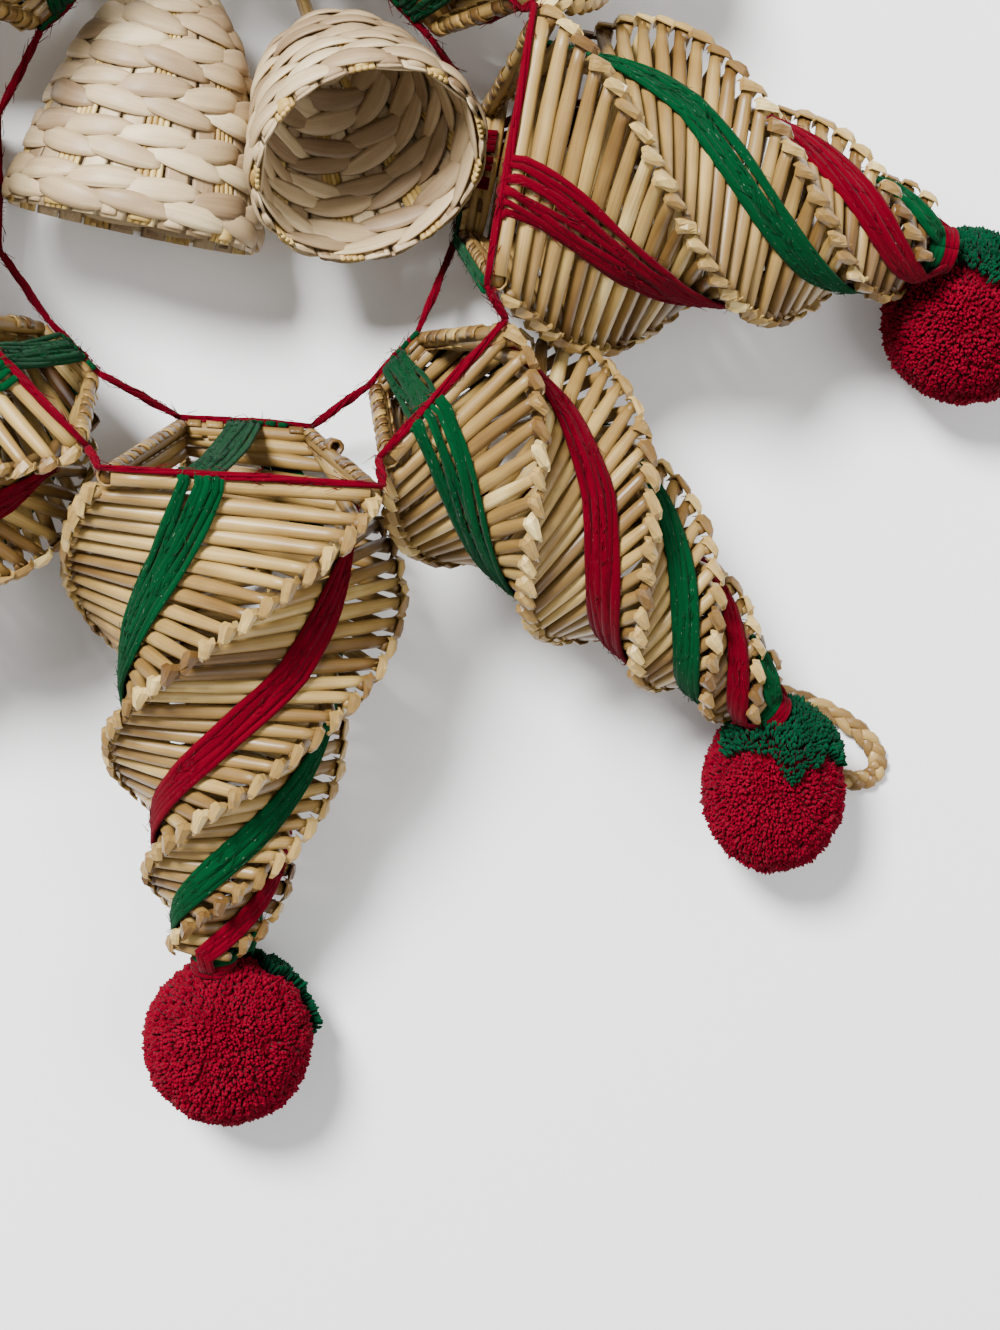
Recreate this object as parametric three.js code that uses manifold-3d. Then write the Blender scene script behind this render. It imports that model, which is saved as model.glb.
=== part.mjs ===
// A wreath of eight hollow cones plaited from wheat straw, bound with red and green yarn,
// with a yarn pompom at each tip and a pair of palm-leaf bells in the middle.
// Millimetres. The wreath lies on its back: +Z is its front, +Y its top.
import * as THREE from 'three';
import { mergeVertices } from 'three/addons/utils/BufferGeometryUtils.js';
import Module from 'manifold-3d';

const wasm = await Module();
wasm.setup();

// ---- driving dimensions ----
const RING_CENTRE = { x: 8.9, y: 0.7 };   // puts the middle of the whole wreath's width at the origin
const STRAW = 3.2;              // one straw, and so the wall of a cone
const MOUTH_HEIGHT = 38.6;      // centre of a wide mouth above the surface the wreath lies on
const TAPER = 0.78;             // share of its mouth's size that a cone has lost at the tip
const TAPER_POWER = 1.15;
const RIDGE_LEAD = 1.18;        // mm that a ridge moves round for each mm that it goes along
const PINCH_END = 0.25;         // share of the length over which a drawn-in mouth widens
const SQUEEZE_END = 0.4;        // share of the length over which the back is squeezed narrower
const SQUEEZE_FADE = 1.6;
const LEVELS = 14;              // rings of facets along a cone, closer together towards the tip
const LEVEL_CROWDING = 1.3;
const TURN_STEPS = 400;         // steps in which the turning of the ridges is added up
const CAVITY_END = 0.9;         // share of the length that is hollow
const CAVITY_LEVELS = 7;

const STALK_RADIUS = 3.6;       // tied straw ends beyond the tip
const STALK_LENGTH = 5.2;
const BAND_WIDTH = 7;           // yarn bands in the valleys between the ridges
const BAND_TIP_WIDTH = 3.6;
const BAND_THICKNESS = 1.6;
const BAND_GAP = 1.7;
const BAND_SHIFT = 0.07;        // how far off the middle of a face a band runs, in shares of its width
const MOUTH_SHIFT = -0.14;      // the same at the mouth
const SHIFT_END = 0.36;         // share of the length over which one becomes the other
const BAND_START = 0.015;       // share of the length where a band starts
const SIDE_BAND_START = 0.21;   // the same between two cones, which press together there
const COLLAR_RADIUS = 4.1;      // where a band turns round the stalk
const COLLAR_WIDTH = 2;
const GREEN_COLLAR = 1.2;       // distances of the two turns beyond the tip
const RED_COLLAR = 4;
const SHOULDER = 2.4;           // where the outer strand passes over the inner one
const COLLAR_STEPS = 4;

const POMPOM_SINK = 1.3;        // how far a pompom is pressed flat where it rests
const POMPOM_ROUGHNESS = 0.5;
const POMPOM_DETAIL = 2;
const POMPOM_OVERLAP = 2;       // how far a pompom's edge reaches back over the stalk's end
const CAP_GAP = 0.3;
const CAP_THICKNESS = 2.8;
const CAP_REACH = 62;           // degrees from the cap's middle to the tips of its points
const CAP_NOTCH = 13;           // degrees by which its notches are shorter
const CAP_POINTS = 5;
const CAP_RINGS = 2;
const CAP_HOLE = 0.12;          // share of the cap's reach that is left open at its middle
const NECK_CLEARANCE = 0.4;
const NECK_SIDES = 10;

const LASHING = 2;              // thickness of the yarn that ties the mouths together
const LASHING_GAP = 3.5;        // from the mouths' corners to its middle
const CROSSING_GAP = 0.7;       // from a mouth's rim to the yarn that crosses the mouth
const RIM_TURN = 1;             // how far inside the rim that yarn starts to turn over it

const PALM_WALL = 2;            // two layers of palm strip
const BELL_SIDES = 12;
const BELL_CAVITY = 0.9;        // share of a bell's height that is hollow
const STEM_RADIUS = 1.6;

const LOOP_LENGTH = 36;         // plaited straw loop at the south-east tip
const LOOP_HALF_WIDTH = 7.5;
const LOOP_THICKNESS = 2.8;
const LOOP_HEADING = -31;       // degrees
const LOOP_STEPS = 18;
const LOOP_SPREAD = 0.4;        // how soon its two strands part: the smaller, the sooner
const LOOP_REST = 1.9;          // height of its middle where it lies on the surface
const LOOP_RISE = 5;            // how far it climbs to the tip that it is tied to
const LOOP_RISE_END = 0.25;     // share of its length over which it climbs

const BED = 600;                // larger than the wreath, to cut off what would reach below z = 0
const BED_DEPTH = 20;

// Two sizes of mouth take turns round the ring: wide ones, and ones that the lashing draws in.
// reach: from the ring's centre to the mouth's; radius: half the mouth's diagonal; droop: degrees
// that the tip drops behind the mouth; lean: degrees that the sections tip back; squeeze: how much narrower the mouth's back is than its front;
// green: the side that the first green band lies on, counted from the front.
const WIDE = {
  reach: 54.5, radius: 42, length: 101, droop: 10, pinch: 0.05, squeeze: 0.62,
  lean: 0, rise: 0, green: 0, ball: 17,
};
const DRAWN_IN = {
  reach: 53, radius: 34.5, length: 96, droop: 10, pinch: 0.2, squeeze: 0.75,
  lean: 4, rise: 3, green: 0, ball: 16,
};

// bearing: where the mouth's centre lies, seen from the ring's centre; heading: where the tip
// points; hang: where the pompom lies from the tip; stretch: its length over its width; cap: where
// its green cap faces.
const CONES = [
  {
    ...WIDE, name: 'east', bearing: 2.7, heading: -10, length: 87.3, hang: -60, cap: [0, 1, 0.15],
    reach: 50, droop: 3, rise: -2.5, green: 3, ball: 17.4,
  },
  { ...DRAWN_IN, name: 'north_east', bearing: 45, heading: 45, hang: 30, cap: [-0.3, 1, 0.2] },
  { ...WIDE, name: 'north', bearing: 90, heading: 89, hang: 80, cap: [-0.5, -0.8, 0.3] },
  { ...DRAWN_IN, name: 'north_west', bearing: 135, heading: 134, hang: 150, cap: [0.3, 1, 0.2] },
  { ...WIDE, name: 'west', bearing: 180, heading: 179, hang: 205, cap: [0.2, 1, 0.1], green: 3 },
  { ...DRAWN_IN, name: 'south_west', bearing: -135, heading: -137, hang: -115, cap: [0.1, 1, 0.2] },
  { ...WIDE, name: 'south', bearing: -89.5, heading: -94, hang: -80, cap: [0.38, 0.52, -0.76], ball: 17.8 },
  {
    ...DRAWN_IN, name: 'south_east', bearing: -48.5, heading: -43, hang: -86, cap: [0.1, 1, 0.38],
    ball: 15.2, prop: 3.6, stretch: 1.18,
  },
];

// mouth: middle of the mouth; opens: where the mouth faces; flat: depth of its section over its
// width; stem: where its stem is tied.
const BELLS = [
  {
    name: 'left', mouth: [-21, -9, 20.2], opens: [-0.2, -0.98, 0],
    radius: 25.5, flat: 0.76, height: 50, stem: [-7, 46, 16],
  },
  {
    name: 'right', mouth: [25, 1, 41.5], opens: [0.22, -0.65, 0.72],
    radius: 23.5, flat: 1, height: 42, stem: [10, 46, 9],
  },
];
// Outline of a bell from rim to crown: share of the height, share of the radius.
const BELL_OUTLINE = [
  [0, 0.98], [0.04, 1.03], [0.13, 0.97], [0.3, 0.88], [0.5, 0.79], [0.7, 0.65], [0.86, 0.44], [0.96, 0.22],
];

const STRAW_LOOK = { color: 0xd3b67c, roughness: 0.55, metalness: 0 };
const RED_LOOK = { color: 0xa5001e, roughness: 0.95, metalness: 0 };
const GREEN_LOOK = { color: 0x00592b, roughness: 0.95, metalness: 0 };
const PALM_LOOK = { color: 0xd6bb96, roughness: 0.7, metalness: 0 };

// ---- small helpers ----
const rad = THREE.MathUtils.degToRad;
const vec = (x, y, z) => new THREE.Vector3(x, y, z);
const mix = (a, b, t) => a + (b - a) * t;
const along = (start, ...steps) => {
  const p = start.clone();
  for (const [direction, amount] of steps) p.addScaledVector(direction, amount);
  return p;
};

// A closed mesh, with its faces turned to point out.
function meshData(points, triangles) {
  const volume = triangles.reduce((sum, [a, b, c]) => {
    const normal = new THREE.Vector3().crossVectors(points[b], points[c]);
    return sum + points[a].dot(normal);
  }, 0);
  const facing = volume > 0 ? triangles : triangles.map(([a, b, c]) => [a, c, b]);
  const geometry = new THREE.BufferGeometry();
  const positions = points.flatMap((p) => [p.x, p.y, p.z]);
  geometry.setAttribute('position', new THREE.Float32BufferAttribute(positions, 3));
  geometry.setIndex(facing.flat());
  return geometry;
}

// Rings of points, all with the same count, joined by quads and closed by a fan at each end.
function loft(rings, { closed = false } = {}) {
  const points = rings.flat();
  const count = rings[0].length;
  const triangles = [];
  const last = closed ? rings.length : rings.length - 1;
  for (let i = 0; i < last; i += 1) {
    const near = i * count;
    const far = ((i + 1) % rings.length) * count;
    for (let j = 0; j < count; j += 1) {
      const k = (j + 1) % count;
      triangles.push([near + j, near + k, far + k], [near + j, far + k, far + j]);
    }
  }
  if (!closed) {
    const end = (rings.length - 1) * count;
    for (let j = 1; j < count - 1; j += 1) {
      triangles.push([0, j + 1, j], [end, end + j, end + j + 1]);
    }
  }
  return meshData(points, triangles);
}

function toSolid(geometry) {
  const bare = new THREE.BufferGeometry();
  bare.setAttribute('position', geometry.getAttribute('position').clone());
  if (geometry.index) bare.setIndex(geometry.index.clone());
  const merged = mergeVertices(bare, 1e-4);
  return new wasm.Manifold(new wasm.Mesh({
    numProp: 3,
    vertProperties: new Float32Array(merged.getAttribute('position').array),
    triVerts: new Uint32Array(merged.index.array),
  }));
}

function fromSolid(solid) {
  const mesh = solid.getMesh();
  const geometry = new THREE.BufferGeometry();
  geometry.setAttribute('position', new THREE.BufferAttribute(new Float32Array(mesh.vertProperties), 3));
  geometry.setIndex(new THREE.BufferAttribute(new Uint32Array(mesh.triVerts), 1));
  return geometry;
}

const wreath = new THREE.Group();
wreath.position.set(RING_CENTRE.x, RING_CENTRE.y, 0);
function addPiece(name, geometry, look) {
  const mesh = new THREE.Mesh(geometry, new THREE.MeshStandardMaterial(look));
  mesh.name = name;
  wreath.add(mesh);
}

// ---- the shape of a cone ----
// Its section is a square that shrinks and turns from the mouth (share 0) to the tip (share 1).
function coneShape(cone) {
  const heading = rad(cone.heading);
  const bearing = rad(cone.bearing);
  const droop = rad(cone.droop);
  const lean = rad(cone.lean);
  const axis = vec(
    Math.cos(heading) * Math.cos(droop),
    Math.sin(heading) * Math.cos(droop),
    -Math.sin(droop),
  );
  const side = vec(-Math.sin(heading), Math.cos(heading), 0);
  const square = new THREE.Vector3().crossVectors(axis, side);
  const front = along(vec(0, 0, 0), [square, Math.cos(lean)], [axis, Math.sin(lean)]);
  const mouth = vec(
    Math.cos(bearing) * cone.reach,
    Math.sin(bearing) * cone.reach,
    MOUTH_HEIGHT + cone.rise,
  );

  const radiusAt = (share) => {
    const pinch = cone.pinch * Math.max(0, 1 - share / PINCH_END) ** 2;
    return cone.radius * (1 - TAPER * share ** TAPER_POWER) * (1 - pinch);
  };
  const turns = [0];
  for (let i = 0; i < TURN_STEPS; i += 1) {
    const rate = RIDGE_LEAD / radiusAt((i + 0.5) / TURN_STEPS);
    turns.push(turns[i] + (rate * cone.length) / TURN_STEPS);
  }
  const turnAt = (share) => {
    const place = Math.min(share, 1) * TURN_STEPS;
    const low = Math.min(Math.floor(place), TURN_STEPS - 1);
    return mix(turns[low], turns[low + 1], place - low);
  };
  // Direction from the axis at an angle, counted from the front towards the side.
  const outward = (angle) => along(vec(0, 0, 0), [side, Math.sin(angle)], [front, Math.cos(angle)]);
  const centreAt = (share) => along(mouth, [axis, share * cone.length]);
  // A point of the section, narrowed from front to back where the mouths press together.
  const pointAt = (share, angle, distance) => {
    const squeeze = cone.squeeze * Math.max(0, 1 - share / SQUEEZE_END) ** SQUEEZE_FADE;
    const depth = distance * Math.cos(angle);
    const narrow = 1 - (squeeze * (1 - depth / radiusAt(share))) / 2;
    return along(centreAt(share), [side, distance * Math.sin(angle) * narrow], [front, depth]);
  };
  const section = (share, inset, corners) => {
    const ring = [];
    const radius = radiusAt(share) - inset * Math.SQRT2;
    const per = corners / 4;
    for (let j = 0; j < corners; j += 1) {
      const angle = rad(45) - turnAt(share) + (j * Math.PI * 2) / corners;
      const onCorner = j % per === 0;
      ring.push(pointAt(share, angle, onCorner ? radius : radius * Math.SQRT1_2));
    }
    return ring;
  };
  return { axis, radiusAt, turnAt, outward, centreAt, pointAt, section };
}

const levelShare = (i) => 1 - (1 - i / LEVELS) ** LEVEL_CROWDING;

function coneGeometry(shape) {
  const outer = [];
  for (let i = 0; i <= LEVELS; i += 1) outer.push(shape.section(levelShare(i), 0, 8));
  const tip = outer[LEVELS][0].clone().sub(shape.centreAt(1)).length();
  const stalk = [0, STALK_LENGTH].map((far) => outer[LEVELS].map((p) => {
    const spoke = p.clone().sub(shape.centreAt(1)).normalize();
    return along(shape.centreAt(1), [spoke, Math.min(STALK_RADIUS, tip)], [shape.axis, far]);
  }));
  const inner = [];
  for (let i = 0; i <= CAVITY_LEVELS; i += 1) {
    inner.push(shape.section((i / CAVITY_LEVELS) * CAVITY_END, STRAW, 8));
  }
  return loft([...inner.reverse(), ...outer, ...stalk]);
}

// ---- yarn ----
// One strand: down a valley, round the stalk, and up the valley opposite. A strand that crosses
// the mouth starts at the rim on the far side.
function strandGeometry(shape, face, beyondTip, crosses) {
  const stations = [];
  const faceAngle = (share) => face * rad(90) - shape.turnAt(share);
  const halfSide = (share) => shape.radiusAt(share) * Math.SQRT1_2;
  const station = (share, angle, far, lift, out, wide, shift = 0) => {
    const across = wide.clone().normalize();
    const p = along(shape.pointAt(share, angle, lift), [shape.axis, far], [across, shift]);
    stations.push({ p, out, wide });
  };
  const shiftAt = (share) => {
    const near = Math.max(0, 1 - share / SHIFT_END);
    return mix(BAND_SHIFT, MOUTH_SHIFT, near) * 2 * halfSide(share);
  };
  const firstShare = face % 2 === 0 ? BAND_START : SIDE_BAND_START;
  const firstLevel = Array.from({ length: LEVELS }, (_, i) => i).find((i) => levelShare(i + 1) > firstShare);
  const valley = (level, turned) => {
    const share = Math.max(levelShare(level), firstShare);
    const angle = faceAngle(share) + (turned ? Math.PI : 0);
    const width = mix(BAND_WIDTH, BAND_TIP_WIDTH, share ** 2);
    const wide = shape.outward(angle + rad(90)).multiplyScalar(turned ? -width / 2 : width / 2);
    const shift = turned ? -shiftAt(share) : shiftAt(share);
    station(share, angle, 0, halfSide(share) + BAND_GAP, shape.outward(angle), wide, shift);
  };
  if (crosses && face % 2 === 0) {
    const angle = faceAngle(0);
    const out = shape.axis.clone().negate();
    const wide = shape.outward(angle + rad(90)).multiplyScalar(BAND_WIDTH / 2);
    station(0, angle, -CROSSING_GAP, -halfSide(0), out, wide);
    station(0, angle, -CROSSING_GAP, halfSide(0) - RIM_TURN, out, wide, shiftAt(0));
    const corner = out.clone().add(shape.outward(angle)).normalize();
    station(0, angle, -CROSSING_GAP, halfSide(0) + BAND_GAP, corner, wide, shiftAt(0));
  }
  for (let i = firstLevel; i <= LEVELS; i += 1) valley(i, false);
  const tipAngle = faceAngle(1);
  const shoulder = (angle, turned) => {
    if (beyondTip < SHOULDER) return;
    const half = turned ? -BAND_TIP_WIDTH / 2 : BAND_TIP_WIDTH / 2;
    const wide = shape.outward(angle + rad(90)).multiplyScalar(half);
    station(1, angle, SHOULDER, COLLAR_RADIUS + BAND_THICKNESS + BAND_GAP, shape.outward(angle), wide);
  };
  shoulder(tipAngle, false);
  for (let i = 0; i <= COLLAR_STEPS; i += 1) {
    const angle = tipAngle + (Math.PI * i) / COLLAR_STEPS;
    const wide = shape.axis.clone().multiplyScalar(-COLLAR_WIDTH / 2);
    station(1, angle, beyondTip, COLLAR_RADIUS, shape.outward(angle), wide);
  }
  shoulder(tipAngle + Math.PI, true);
  for (let i = LEVELS; i >= firstLevel; i -= 1) valley(i, true);
  return loft(stations.map(({ p, out, wide }) => [
    p.clone().sub(wide),
    p.clone().add(wide),
    along(p, [out, BAND_THICKNESS]),
  ]));
}

// A closed ring of yarn through the given points, with a square section.
function ringGeometry(points, thickness) {
  const rings = points.map((p, i) => {
    const before = points[(i + points.length - 1) % points.length];
    const after = points[(i + 1) % points.length];
    const run = after.clone().sub(before).normalize();
    const up = vec(0, 0, 1);
    const outwards = new THREE.Vector3().crossVectors(run, up).normalize();
    const half = thickness / 2;
    return [
      along(p, [outwards, half], [up, half]),
      along(p, [outwards, -half], [up, half]),
      along(p, [outwards, -half], [up, -half]),
      along(p, [outwards, half], [up, -half]),
    ];
  });
  return loft(rings, { closed: true });
}

// The lashing through two corners of each mouth in turn, at the front (corners 3 and 0) or the back.
function lashingGeometry(corners) {
  const points = CONES.flatMap((cone) => {
    const shape = shapes.get(cone.name);
    const ring = shape.section(0, 0, 4);
    return corners.map((corner) => along(ring[corner], [shape.axis, -LASHING_GAP]));
  });
  return ringGeometry(points, LASHING);
}

// ---- pompoms ----
function pompomGeometry(centre, radius) {
  const ball = new THREE.IcosahedronGeometry(radius, POMPOM_DETAIL);
  const position = ball.getAttribute('position');
  const p = vec(0, 0, 0);
  for (let i = 0; i < position.count; i += 1) {
    p.fromBufferAttribute(position, i).normalize();
    const bump = Math.sin(7 * p.x + 3 * p.y) * Math.sin(6 * p.y + 4 * p.z) * POMPOM_ROUGHNESS;
    p.multiplyScalar(radius - POMPOM_ROUGHNESS + bump).add(centre);
    position.setXYZ(i, p.x, p.y, p.z);
  }
  return ball;
}

// A pompom that hangs long: its points move away from its centre along the way it hangs.
function stretched(geometry, centre, way, factor) {
  const position = geometry.getAttribute('position');
  const p = vec(0, 0, 0);
  for (let i = 0; i < position.count; i += 1) {
    p.fromBufferAttribute(position, i);
    p.addScaledVector(way, way.dot(p.clone().sub(centre)) * (factor - 1));
    position.setXYZ(i, p.x, p.y, p.z);
  }
  return geometry;
}

// A shallow cap over the ball, with points like a strawberry's leaves.
function capGeometry(centre, radius, facing) {
  const pole = facing.clone().normalize();
  const first = new THREE.Vector3().crossVectors(pole, vec(0.1, 0.2, 1)).normalize();
  const second = new THREE.Vector3().crossVectors(pole, first);
  const around = CAP_POINTS * 2;
  const ringAt = (distance, share) => Array.from({ length: around }, (_, j) => {
    const turn = (j * Math.PI * 2) / around;
    const polar = rad((j % 2 === 0 ? CAP_REACH : CAP_REACH - CAP_NOTCH) * share);
    return along(
      centre,
      [pole, distance * Math.cos(polar)],
      [first, distance * Math.sin(polar) * Math.cos(turn)],
      [second, distance * Math.sin(polar) * Math.sin(turn)],
    );
  });
  const shares = Array.from({ length: CAP_RINGS + 1 }, (_, i) => mix(CAP_HOLE, 1, i / CAP_RINGS));
  // Flat facets cut inside the ball between their corners, so the cap stands off by that much.
  const low = (radius + CAP_GAP) / Math.cos(rad(CAP_REACH / CAP_RINGS / 2)) / Math.cos(Math.PI / around);
  const under = shares.map((share) => ringAt(low, share));
  const over = shares.map((share) => ringAt(low + CAP_THICKNESS, share));
  return loft([...under, ...over.reverse()], { closed: true });
}

// ---- palm bells ----
function bellGeometry({ mouth, opens, radius, flat, height, stem }) {
  const centre = vec(...mouth);
  const up = vec(...opens).normalize().negate();
  const across = new THREE.Vector3().crossVectors(up, vec(0, 0, 1)).normalize();
  const deep = new THREE.Vector3().crossVectors(across, up);
  const ringAt = (middle, wide) => Array.from({ length: BELL_SIDES }, (_, j) => {
    const turn = (j * Math.PI * 2) / BELL_SIDES;
    return along(middle, [across, wide * Math.cos(turn)], [deep, wide * flat * Math.sin(turn)]);
  });
  const outer = BELL_OUTLINE.map(([share, wide]) => {
    const middle = along(centre, [up, share * height]);
    return ringAt(middle, wide * radius);
  });
  const crown = along(centre, [up, height]);
  const stemRings = [crown, vec(...stem)].map((middle) => ringAt(middle, STEM_RADIUS));
  const inner = BELL_OUTLINE.slice(0, -1).map(([share, wide]) => {
    const middle = along(centre, [up, share * BELL_CAVITY * height]);
    return ringAt(middle, wide * radius - PALM_WALL);
  });
  return loft([...inner.reverse(), ...outer, ...stemRings]);
}

// ---- plaited loop ----
function plaitedLoopGeometry(start) {
  const heading = rad(LOOP_HEADING);
  const run = vec(Math.cos(heading), Math.sin(heading), 0);
  const side = vec(-Math.sin(heading), Math.cos(heading), 0);
  const points = Array.from({ length: LOOP_STEPS }, (_, i) => {
    const turn = ((i + 0.5) * Math.PI * 2) / LOOP_STEPS;
    const share = (1 - Math.cos(turn)) / 2;
    const climb = LOOP_RISE * Math.max(0, 1 - share / LOOP_RISE_END) ** 2;
    const spread = LOOP_HALF_WIDTH * Math.sin(turn) * share ** LOOP_SPREAD;
    const p = along(start, [run, share * LOOP_LENGTH], [side, spread]);
    p.z = LOOP_REST + climb;
    return p;
  });
  return ringGeometry(points, LOOP_THICKNESS);
}

// ---- assembly ----
const shapes = new Map(CONES.map((cone) => [cone.name, coneShape(cone)]));

// Everything that reaches the surface below is pressed flat on it.
const belowSurface = toSolid(new THREE.BoxGeometry(BED, BED, BED_DEPTH).translate(0, 0, -BED_DEPTH / 2));
const pressFlat = (solid) => solid.subtract(belowSurface);

for (const cone of CONES) {
  const shape = shapes.get(cone.name);
  const tip = shape.centreAt(1);
  addPiece(`straw_cone_${cone.name}`, fromSolid(pressFlat(toSolid(coneGeometry(shape)))), STRAW_LOOK);
  addPiece(`green_yarn_${cone.name}`, strandGeometry(shape, cone.green, GREEN_COLLAR, true), GREEN_LOOK);
  addPiece(`red_yarn_${cone.name}`, strandGeometry(shape, cone.green + 1, RED_COLLAR, false), RED_LOOK);

  const hang = vec(Math.cos(rad(cone.hang)), Math.sin(rad(cone.hang)), 0);
  const stretch = cone.stretch ?? 1;
  const centre = along(tip, [shape.axis, STALK_LENGTH], [hang, cone.ball * stretch - POMPOM_OVERLAP]);
  centre.z = cone.ball - POMPOM_SINK + (cone.prop ?? 0);
  const neckRadius = shape.radiusAt(1) * Math.SQRT1_2 + BAND_GAP + BAND_THICKNESS + NECK_CLEARANCE;
  const neck = toSolid(loft([-STALK_LENGTH, STALK_LENGTH + NECK_CLEARANCE].map((far) => (
    Array.from({ length: NECK_SIDES }, (_, j) => {
      const spoke = shape.outward((j * Math.PI * 2) / NECK_SIDES);
      return along(tip, [shape.axis, far], [spoke, neckRadius / Math.cos(Math.PI / NECK_SIDES)]);
    })
  ))));
  const ball = toSolid(stretched(pompomGeometry(centre, cone.ball), centre, hang, stretch)).subtract(neck);
  addPiece(`pompom_${cone.name}`, fromSolid(pressFlat(ball)), RED_LOOK);
  const leaves = stretched(capGeometry(centre, cone.ball, vec(...cone.cap)), centre, hang, stretch);
  const cap = toSolid(leaves).subtract(neck);
  addPiece(`pompom_cap_${cone.name}`, fromSolid(pressFlat(cap)), GREEN_LOOK);
}

addPiece('front_lashing', lashingGeometry([3, 0]), RED_LOOK);
addPiece('back_lashing', lashingGeometry([2, 1]), RED_LOOK);
for (const bell of BELLS) addPiece(`palm_bell_${bell.name}`, bellGeometry(bell), PALM_LOOK);
addPiece('plaited_loop', plaitedLoopGeometry(shapes.get('south_east').centreAt(1)), STRAW_LOOK);

export default wreath;
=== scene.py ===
"""Looks for the straw wreath: plaited straw cones, yarn bands, pompoms, palm bells and a loop."""
import functools
import math

import bpy
import numpy as np
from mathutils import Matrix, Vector


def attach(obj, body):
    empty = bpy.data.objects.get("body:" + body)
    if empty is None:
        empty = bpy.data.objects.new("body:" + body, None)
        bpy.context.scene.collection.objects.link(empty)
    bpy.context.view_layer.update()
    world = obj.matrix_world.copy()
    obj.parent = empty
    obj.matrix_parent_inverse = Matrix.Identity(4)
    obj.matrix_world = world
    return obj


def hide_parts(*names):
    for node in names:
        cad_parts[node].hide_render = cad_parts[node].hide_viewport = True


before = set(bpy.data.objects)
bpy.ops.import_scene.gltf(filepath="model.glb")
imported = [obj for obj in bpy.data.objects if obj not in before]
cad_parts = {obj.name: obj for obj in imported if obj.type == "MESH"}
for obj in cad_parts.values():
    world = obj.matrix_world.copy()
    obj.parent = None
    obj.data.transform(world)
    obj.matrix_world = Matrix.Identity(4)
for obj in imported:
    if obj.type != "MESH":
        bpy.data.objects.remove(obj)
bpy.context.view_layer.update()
MM = 0.001
rng = np.random.default_rng(11)

# ---- sizes, in millimetres, the same as the CAD part's ----
RING_CENTRE = np.array([8.9, 0.7, 0.0])
MOUTH_HEIGHT = 38.6
TAPER, TAPER_POWER = 0.78, 1.15
RIDGE_LEAD = 1.18
PINCH_END, SQUEEZE_END, SQUEEZE_FADE = 0.25, 0.4, 1.6
BAND_SHIFT, MOUTH_SHIFT, SHIFT_END = 0.07, -0.14, 0.36
STALK_LENGTH = 5.2
POMPOM_SINK = 1.3
POMPOM_OVERLAP = 2
BAND_WIDTH, BAND_TIP_WIDTH = 7.0, 3.6

# ---- sizes that only the looks have ----
LASHING_GAP = 2.0               # nearer to the mouths than in the CAD part, where it is one thick bar
STRAW_PITCH = 3.12              # from one layer of straw to the next
STRAW_RADIUS = 1.56
BAND_RISE = 0.7                 # from the straws to the middle of a band's strands
BAND_TRIM = 0.9                 # what the outer strands' thickness takes off a band's width
BAND_STEP = 0.03                # from one point of a band's path to the next, as a share of the cone
YARN_RADIUS, YARN_RISE = 0.7, 0.2               # of a strand; of the middle ones over the outer ones
LEAF_THICKNESS = 0.35           # of a straw that is pressed flat
FLOOR_GAP = 0.05                # nothing reaches nearer to the floor

# ---- the cones, with the same facts as in the CAD part ----
# reach: from the ring's centre to the mouth's; radius: half the mouth's diagonal; droop: degrees
# that the tip drops; lean: degrees that the sections tip back; squeeze: how much narrower the
# mouth's back is than its front; green: the side that the first green band lies on, counted from
# the front; hang: the way the pompom hangs from the tip; cap: the way its green cap faces;
# prop: how far the pompom is held off the floor; stretch: how much longer it is along hang.
WIDE = dict(reach=54.5, radius=42, length=101, droop=10, pinch=0.05, squeeze=0.62, lean=0, rise=0,
            green=0, ball=17, prop=0, stretch=1)
DRAWN_IN = dict(reach=53, radius=34.5, length=96, droop=10, pinch=0.2, squeeze=0.75, lean=4, rise=3,
                green=0, ball=16, prop=0, stretch=1)
CONES = [
    {**WIDE, "name": "east", "bearing": 2.7, "heading": -10, "hang": -60, "cap": (0, 1, 0.15),
     "reach": 50, "length": 87.3, "droop": 3, "rise": -2.5, "green": 3, "ball": 17.4},
    {**DRAWN_IN, "name": "north_east", "bearing": 45, "heading": 45, "hang": 30, "cap": (-0.3, 1, 0.2)},
    {**WIDE, "name": "north", "bearing": 90, "heading": 89, "hang": 80, "cap": (-0.5, -0.8, 0.3)},
    {**DRAWN_IN, "name": "north_west", "bearing": 135, "heading": 134, "hang": 150, "cap": (0.3, 1, 0.2)},
    {**WIDE, "name": "west", "bearing": 180, "heading": 179, "hang": 205, "cap": (0.2, 1, 0.1), "green": 3},
    {**DRAWN_IN, "name": "south_west", "bearing": -135, "heading": -137, "hang": -115,
     "cap": (0.1, 1, 0.2)},
    {**WIDE, "name": "south", "bearing": -89.5, "heading": -94, "hang": -80, "cap": (0.38, 0.52, -0.76),
     "ball": 17.8},
    {**DRAWN_IN, "name": "south_east", "bearing": -48.5, "heading": -43, "hang": -86, "cap": (0.1, 1, 0.38),
     "ball": 15.2, "prop": 3.6, "stretch": 1.18},
]


def unit(v):
    return v / np.linalg.norm(v)


def unit_rows(v):
    return v / np.linalg.norm(v, axis=1, keepdims=True)


def vec(*v):
    return np.array(v, float)


def turned_to(normal, way):
    """The normal, turned round where it would face away from way."""
    return normal if normal @ way > 0 else -normal


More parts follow.
